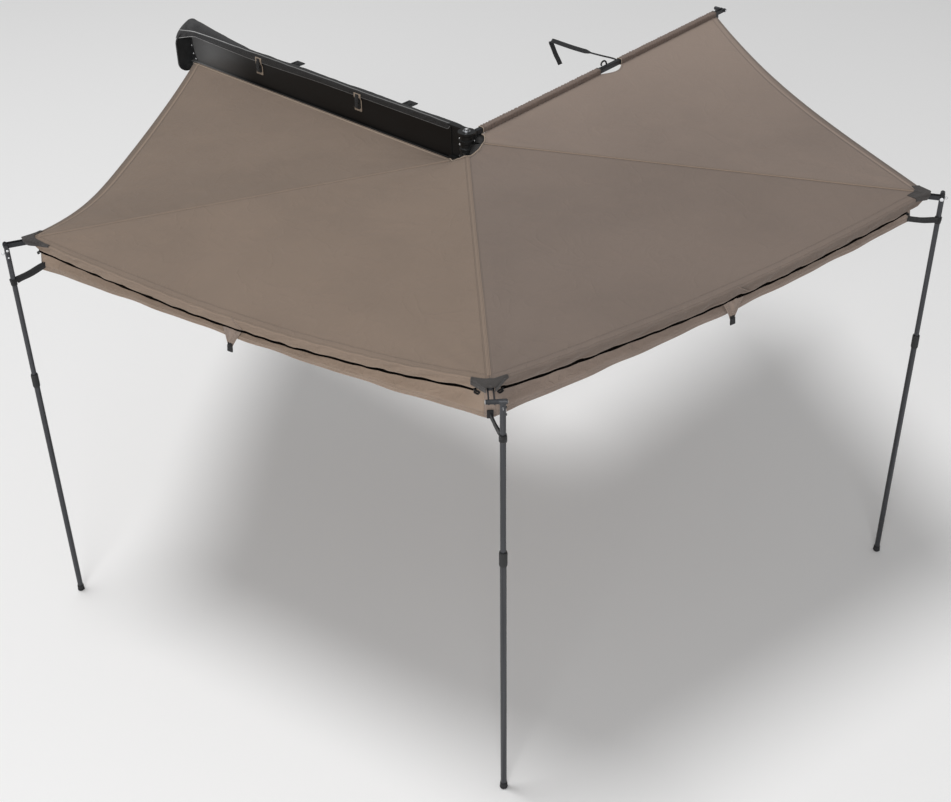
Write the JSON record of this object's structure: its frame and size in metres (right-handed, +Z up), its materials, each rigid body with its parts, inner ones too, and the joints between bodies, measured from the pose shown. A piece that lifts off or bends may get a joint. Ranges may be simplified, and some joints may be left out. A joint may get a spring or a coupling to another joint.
{
  "type": "vehicle side awning",
  "caption": "Fan-shaped side awning: a long case with a pivot at one end, hinged arms that spread a cloth canopy round a corner, and telescopic legs that drop from the arms.",
  "frame": {"origin": "the underside of the rear bracket's foot, between its two slots, where it sits on a crossbar", "axes": "+Z up; X along the case, +X towards the pivot end; +Y over the vehicle's roof, -Y out to its side"},
  "size_m": [4.1732, 4.1776, 2.0488],
  "materials": {
    "case_coat": "black powder coat on an extrusion, satin",
    "dark_coat": "charcoal powder coat, satin",
    "bracket_coat": "black powder coat on folded steel, satin",
    "bright_steel": "bright zinc plate",
    "leg_coat": "dark grey anodised tube, satin",
    "black_plastic": "matte moulded",
    "black_rubber": "matte",
    "cover_cloth": "coated heavy cloth, dark grey",
    "canopy_cloth": "woven canvas, taupe",
    "sleeve_cloth": "woven canvas, dark taupe",
    "webbing": "flat woven webbing, near black",
    "tan_webbing": "flat woven webbing, taupe"
  },
  "bodies": {
    "case": {"back_wall": "case_coat", "hinge_head": "dark_coat", "pivot_bolt": "bright_steel", "pivot_nut": "bright_steel", "front_end_cap": "black_plastic", "bag_flap": "cover_cloth", "bag_lower_flap": "cover_cloth", "bracket_front": "bracket_coat", "bracket_rear": "bracket_coat", "bracket_bolt_front": "bright_steel", "bracket_bolt_rear": "bright_steel", "strap_front": "tan_webbing", "strap_rear": "tan_webbing", "buckle_front": "black_plastic", "buckle_rear": "black_plastic", "canopy_panel_1": "canopy_cloth"},
    "arm_1": {"arm_1_tube": "dark_coat", "arm_1_knuckle": "dark_coat", "arm_1_fork": "dark_coat", "canopy_panel_2": "canopy_cloth", "valance_1_2": "canopy_cloth"},
    "arm_2": {"arm_2_tube": "dark_coat", "arm_2_knuckle": "dark_coat", "arm_2_fork": "dark_coat", "canopy_panel_3": "canopy_cloth", "valance_2_3": "canopy_cloth"},
    "arm_3": {"arm_3_tube": "dark_coat", "arm_3_knuckle": "dark_coat", "arm_3_fork": "dark_coat", "canopy_panel_4": "canopy_cloth"},
    "arm_4": {"arm_4_tube": "dark_coat", "arm_4_knuckle": "dark_coat", "arm_4_fork": "dark_coat", "arm_4_sleeve_inner": "sleeve_cloth", "arm_4_sleeve_outer": "sleeve_cloth", "tie_strap": "webbing"},
    "leg_1_upper": {"leg_1_upper_tube": "leg_coat", "leg_strap_1": "webbing"},
    "leg_1_lower": {"leg_1_lower_tube": "leg_coat", "leg_1_foot": "black_rubber"},
    "leg_1_collar": {"leg_1_collar": "black_plastic"},
    "leg_1_ring": {"leg_1_lock_ring": "bright_steel"},
    "leg_2_upper": {"leg_2_upper_tube": "leg_coat", "leg_strap_2": "webbing"},
    "leg_2_lower": {"leg_2_lower_tube": "leg_coat", "leg_2_foot": "black_rubber"},
    "leg_2_collar": {"leg_2_collar": "black_plastic"},
    "leg_2_ring": {"leg_2_lock_ring": "bright_steel"},
    "leg_3_upper": {"leg_3_upper_tube": "leg_coat", "leg_strap_3": "webbing"},
    "leg_3_lower": {"leg_3_lower_tube": "leg_coat", "leg_3_foot": "black_rubber"},
    "leg_3_collar": {"leg_3_collar": "black_plastic"},
    "leg_3_ring": {"leg_3_lock_ring": "bright_steel"},
    "leg_4_upper": {"leg_4_upper_tube": "leg_coat"},
    "leg_4_lower": {"leg_4_lower_tube": "leg_coat", "leg_4_foot": "black_rubber"},
    "leg_4_collar": {"leg_4_collar": "black_plastic"},
    "leg_4_ring": {"leg_4_lock_ring": "bright_steel"}
  },
  "joints": [
    {"name": "arm_4_swing", "type": "hinge", "parent": "case", "child": "arm_4", "pos_m": [0.5, -0.1023, 0.01], "axis": [0, 0, 1], "range_deg": [-267.15, 0], "deforming": ["canopy_panel_1", "canopy_panel_2", "canopy_panel_3", "canopy_panel_4", "valance_1_2", "valance_2_3", "tie_strap"]},
    {"name": "arm_3_swing", "type": "hinge", "parent": "case", "child": "arm_3", "pos_m": [0.5, -0.1023, -0.03], "axis": [0, 0, 1], "range_deg": [-200.6, 0]},
    {"name": "arm_2_swing", "type": "hinge", "parent": "case", "child": "arm_2", "pos_m": [0.5, -0.1023, -0.07], "axis": [0, 0, 1], "range_deg": [-134.05, 0]},
    {"name": "arm_1_swing", "type": "hinge", "parent": "case", "child": "arm_1", "pos_m": [0.5, -0.1023, -0.11], "axis": [0, 0, 1], "range_deg": [-67.5, 0]},
    {"name": "leg_1_fold", "type": "hinge", "parent": "arm_1", "child": "leg_1_upper", "pos_m": [-0.31866, -2.07872, -0.05398], "axis": [0.9239, -0.3827, 0], "range_deg": [0, 88.5], "deforming": ["leg_strap_1"]},
    {"name": "leg_1_slide", "type": "slide", "parent": "leg_1_upper", "child": "leg_1_lower", "axis": [0, 0, 1], "range_m": [-0.06, 0.4]},
    {"name": "leg_1_collar_twist", "type": "hinge", "parent": "leg_1_lower", "child": "leg_1_collar", "pos_m": [-0.28355, -2.09327, -0.05398], "axis": [0, 0, 1], "range_deg": [0, 90]},
    {"name": "leg_1_lock_pull", "type": "slide", "parent": "leg_1_upper", "child": "leg_1_ring", "axis": [-0.3827, -0.9239, 0], "range_m": [0, 0.006], "stiffness_N_per_m": 400},
    {"name": "leg_2_fold", "type": "hinge", "parent": "arm_2", "child": "leg_2_upper", "pos_m": [2.01269, -1.61499, -0.01398], "axis": [0.7071, 0.7071, 0], "range_deg": [0, 88.5], "deforming": ["leg_strap_2"]},
    {"name": "leg_2_slide", "type": "slide", "parent": "leg_2_upper", "child": "leg_2_lower", "axis": [0, 0, 1], "range_m": [-0.06, 0.4]},
    {"name": "leg_2_collar_twist", "type": "hinge", "parent": "leg_2_lower", "child": "leg_2_collar", "pos_m": [2.03956, -1.58812, -0.01398], "axis": [0, 0, 1], "range_deg": [0, 90]},
    {"name": "leg_2_lock_pull", "type": "slide", "parent": "leg_2_upper", "child": "leg_2_ring", "axis": [0.7071, -0.7071, 0], "range_m": [0, 0.006], "stiffness_N_per_m": 400},
    {"name": "leg_3_fold", "type": "hinge", "parent": "arm_3", "child": "leg_3_upper", "pos_m": [2.47642, 0.71636, 0.02602], "axis": [-0.3827, 0.9239, 0], "range_deg": [0, 88.5], "deforming": ["leg_strap_3"]},
    {"name": "leg_3_slide", "type": "slide", "parent": "leg_3_upper", "child": "leg_3_lower", "axis": [0, 0, 1], "range_m": [-0.06, 0.4]},
    {"name": "leg_3_collar_twist", "type": "hinge", "parent": "leg_3_lower", "child": "leg_3_collar", "pos_m": [2.46188, 0.75147, 0.02602], "axis": [0, 0, 1], "range_deg": [0, 90]},
    {"name": "leg_3_lock_pull", "type": "slide", "parent": "leg_3_upper", "child": "leg_3_ring", "axis": [0.9239, 0.3827, 0], "range_m": [0, 0.006], "stiffness_N_per_m": 400},
    {"name": "leg_4_fold", "type": "hinge", "parent": "arm_4", "child": "leg_4_upper", "pos_m": [0.5, 2.03697, 0.06602], "axis": [-1, 0, 0], "range_deg": [0, 88.5]},
    {"name": "leg_4_slide", "type": "slide", "parent": "leg_4_upper", "child": "leg_4_lower", "axis": [0, 0, 1], "range_m": [-0.06, 0.4]},
    {"name": "leg_4_collar_twist", "type": "hinge", "parent": "leg_4_lower", "child": "leg_4_collar", "pos_m": [0.462, 2.03697, 0.06602], "axis": [0, 0, 1], "range_deg": [0, 90]},
    {"name": "leg_4_lock_pull", "type": "slide", "parent": "leg_4_upper", "child": "leg_4_ring", "axis": [0, 1, 0], "range_m": [0, 0.006], "stiffness_N_per_m": 400}
  ],
  "couplings": [
    {"joint": "arm_3_swing", "follows": "arm_4_swing", "ratio": 0.75089},
    {"joint": "arm_2_swing", "follows": "arm_4_swing", "ratio": 0.50178},
    {"joint": "arm_1_swing", "follows": "arm_4_swing", "ratio": 0.25267}
  ]
}
